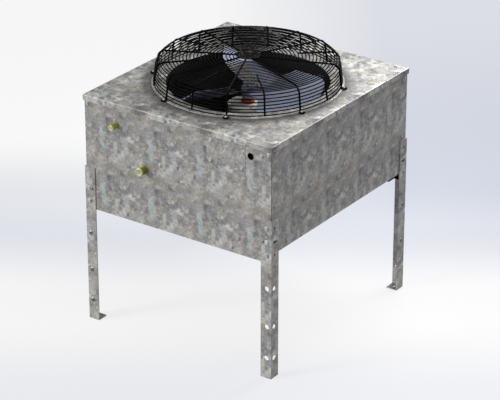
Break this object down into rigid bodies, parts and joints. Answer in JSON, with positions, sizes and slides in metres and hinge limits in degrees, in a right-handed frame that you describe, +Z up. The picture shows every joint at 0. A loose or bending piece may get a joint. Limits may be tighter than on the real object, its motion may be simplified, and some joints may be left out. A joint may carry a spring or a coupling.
{
  "type": "remote air-cooled condenser",
  "caption": "Square galvanised cabinet on angle legs with a horizontal coil, an upward fan in a round wire guard and brass line couplings.",
  "frame": {"origin": "on the floor under the middle of the cabinet, at the centre of the four anchor holes", "axes": "+X along the front face, +Y from the front face with the couplings to the back, +Z up along the fan axis"},
  "size_m": [0.7, 0.78, 0.853],
  "materials": {
    "galvanised_steel": "spangled zinc coating, satin",
    "black_paint": "matt black paint",
    "black_wire": "satin black powder coat",
    "black_rubber": "matt",
    "aluminium_fin": "thin plain fins",
    "aluminium_blade": "smooth rolled sheet",
    "brass": "turned brass",
    "copper": "drawn copper tube",
    "cream_paint": "semi-gloss cream paint",
    "orange_plastic": "moulded",
    "bright_steel": "ground shaft"
  },
  "bodies": {
    "housing": {"top_cover": "galvanised_steel", "front_panel": "galvanised_steel", "back_panel": "galvanised_steel", "left_panel": "galvanised_steel", "right_panel": "galvanised_steel", "junction_cover": "galvanised_steel", "motor_bracket": "galvanised_steel", "coil_front_plate": "galvanised_steel", "coil_back_plate": "galvanised_steel", "leg_front_left": "galvanised_steel", "leg_front_right": "galvanised_steel", "leg_back_left": "galvanised_steel", "leg_back_right": "galvanised_steel", "fan_collar": "black_paint", "guard_wall": "black_wire", "guard_top": "black_wire", "guard_centre_plate": "black_wire", "guard_feet": "black_rubber", "coil_fin_block": "aluminium_fin", "large_coupling": "brass", "small_coupling": "brass", "gas_line": "copper", "liquid_line": "copper", "fan_motor": "cream_paint", "motor_cap": "orange_plastic"},
    "rotor": {"fan_hub": "galvanised_steel", "fan_blade_1": "aluminium_blade", "fan_blade_2": "aluminium_blade", "fan_blade_3": "aluminium_blade", "blade_plate": "galvanised_steel", "motor_shaft": "bright_steel"}
  },
  "joints": [
    {"name": "fan_spin", "type": "hinge", "parent": "housing", "child": "rotor", "pos_m": [0, 0, 0.72], "axis": [0, 0, 1], "continuous": true}
  ]
}
